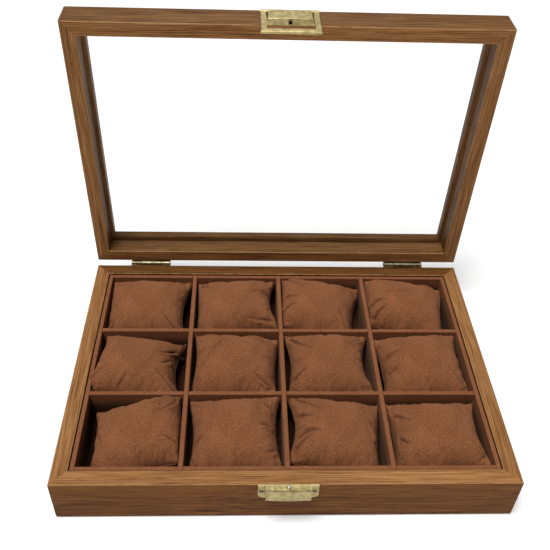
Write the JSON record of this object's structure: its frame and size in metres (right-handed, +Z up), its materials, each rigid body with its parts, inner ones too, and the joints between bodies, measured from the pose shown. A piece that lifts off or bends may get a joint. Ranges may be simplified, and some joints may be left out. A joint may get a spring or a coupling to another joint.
{
  "type": "watch box",
  "caption": "Wood-grain watch box with a hinged glass lid, ring latch and a divided suede tray that holds loose stuffed cushions.",
  "frame": {"origin": "middle of the underside of the base, on the surface it stands on", "axes": "+X along the width to the right, +Y to the back where the hinges are, +Z up; the front with the latch faces -Y; the lid is at rest open on its stops"},
  "size_m": [0.3, 0.2394, 0.2538],
  "materials": {
    "walnut_wrap": "satin wood-grain wrap on board",
    "bottom_board": "thin board",
    "pad_cloth": "flocked cloth",
    "suede": "suede cloth on board",
    "cushion_suede": "suede cloth over soft stuffing",
    "glass": "clear",
    "antique_brass": "antique brass plating, satin",
    "brass_fixings": "antique brass plating",
    "bright_steel": "bright nickel plating"
  },
  "bodies": {
    "base": {"base_front_wall": "walnut_wrap", "base_rear_wall": "walnut_wrap", "base_left_wall": "walnut_wrap", "base_right_wall": "walnut_wrap", "base_panel": "bottom_board", "base_pad": "pad_cloth", "tray_floor": "suede", "liner_front": "suede", "liner_rear": "suede", "liner_left": "suede", "liner_right": "suede", "row_divider_rear": "suede", "row_divider_front": "suede", "column_divider_left": "suede", "column_divider_middle": "suede", "column_divider_right": "suede", "hinge_left_base_leaf": "antique_brass", "hinge_left_pin": "brass_fixings", "hinge_right_base_leaf": "antique_brass", "hinge_right_pin": "brass_fixings", "hinge_base_screws": "brass_fixings", "latch_catch": "antique_brass", "catch_stud": "bright_steel", "catch_screws": "bright_steel"},
    "lid": {"lid_front_rail": "walnut_wrap", "lid_rear_rail": "walnut_wrap", "lid_left_rail": "walnut_wrap", "lid_right_rail": "walnut_wrap", "glass_pane": "glass", "hinge_left_lid_leaf": "antique_brass", "hinge_right_lid_leaf": "antique_brass", "hinge_lid_screws": "brass_fixings", "latch_plate": "antique_brass", "latch_plate_screws": "brass_fixings", "latch_ring_pin": "brass_fixings"},
    "latch_ring": {"latch_ring": "antique_brass"},
    "cushion_rear_1": {"cushion_rear_1": "cushion_suede"},
    "cushion_rear_2": {"cushion_rear_2": "cushion_suede"},
    "cushion_rear_3": {"cushion_rear_3": "cushion_suede"},
    "cushion_rear_4": {"cushion_rear_4": "cushion_suede"},
    "cushion_middle_1": {"cushion_middle_1": "cushion_suede"},
    "cushion_middle_2": {"cushion_middle_2": "cushion_suede"},
    "cushion_middle_3": {"cushion_middle_3": "cushion_suede"},
    "cushion_middle_4": {"cushion_middle_4": "cushion_suede"},
    "cushion_front_1": {"cushion_front_1": "cushion_suede"},
    "cushion_front_2": {"cushion_front_2": "cushion_suede"},
    "cushion_front_3": {"cushion_front_3": "cushion_suede"},
    "cushion_front_4": {"cushion_front_4": "cushion_suede"}
  },
  "joints": [
    {"name": "lid_hinge", "type": "hinge", "parent": "base", "child": "lid", "pos_m": [0, 0.107, 0.0371], "axis": [-1, 0, 0], "range_deg": [-88, 0]},
    {"name": "ring_swing", "type": "hinge", "parent": "lid", "child": "latch_ring", "pos_m": [0, 0.11312, 0.25144], "axis": [-1, 0, 0], "range_deg": [0, 95]},
    {"name": "lift_cushion_rear_1", "type": "slide", "parent": "base", "child": "cushion_rear_1", "axis": [0, 0, 1], "range_m": [0, 0.04]},
    {"name": "lift_cushion_rear_2", "type": "slide", "parent": "base", "child": "cushion_rear_2", "axis": [0, 0, 1], "range_m": [0, 0.04]},
    {"name": "lift_cushion_rear_3", "type": "slide", "parent": "base", "child": "cushion_rear_3", "axis": [0, 0, 1], "range_m": [0, 0.04]},
    {"name": "lift_cushion_rear_4", "type": "slide", "parent": "base", "child": "cushion_rear_4", "axis": [0, 0, 1], "range_m": [0, 0.04]},
    {"name": "lift_cushion_middle_1", "type": "slide", "parent": "base", "child": "cushion_middle_1", "axis": [0, 0, 1], "range_m": [0, 0.04]},
    {"name": "lift_cushion_middle_2", "type": "slide", "parent": "base", "child": "cushion_middle_2", "axis": [0, 0, 1], "range_m": [0, 0.04]},
    {"name": "lift_cushion_middle_3", "type": "slide", "parent": "base", "child": "cushion_middle_3", "axis": [0, 0, 1], "range_m": [0, 0.04]},
    {"name": "lift_cushion_middle_4", "type": "slide", "parent": "base", "child": "cushion_middle_4", "axis": [0, 0, 1], "range_m": [0, 0.04]},
    {"name": "lift_cushion_front_1", "type": "slide", "parent": "base", "child": "cushion_front_1", "axis": [0, 0, 1], "range_m": [0, 0.04]},
    {"name": "lift_cushion_front_2", "type": "slide", "parent": "base", "child": "cushion_front_2", "axis": [0, 0, 1], "range_m": [0, 0.04]},
    {"name": "lift_cushion_front_3", "type": "slide", "parent": "base", "child": "cushion_front_3", "axis": [0, 0, 1], "range_m": [0, 0.04]},
    {"name": "lift_cushion_front_4", "type": "slide", "parent": "base", "child": "cushion_front_4", "axis": [0, 0, 1], "range_m": [0, 0.04]}
  ]
}
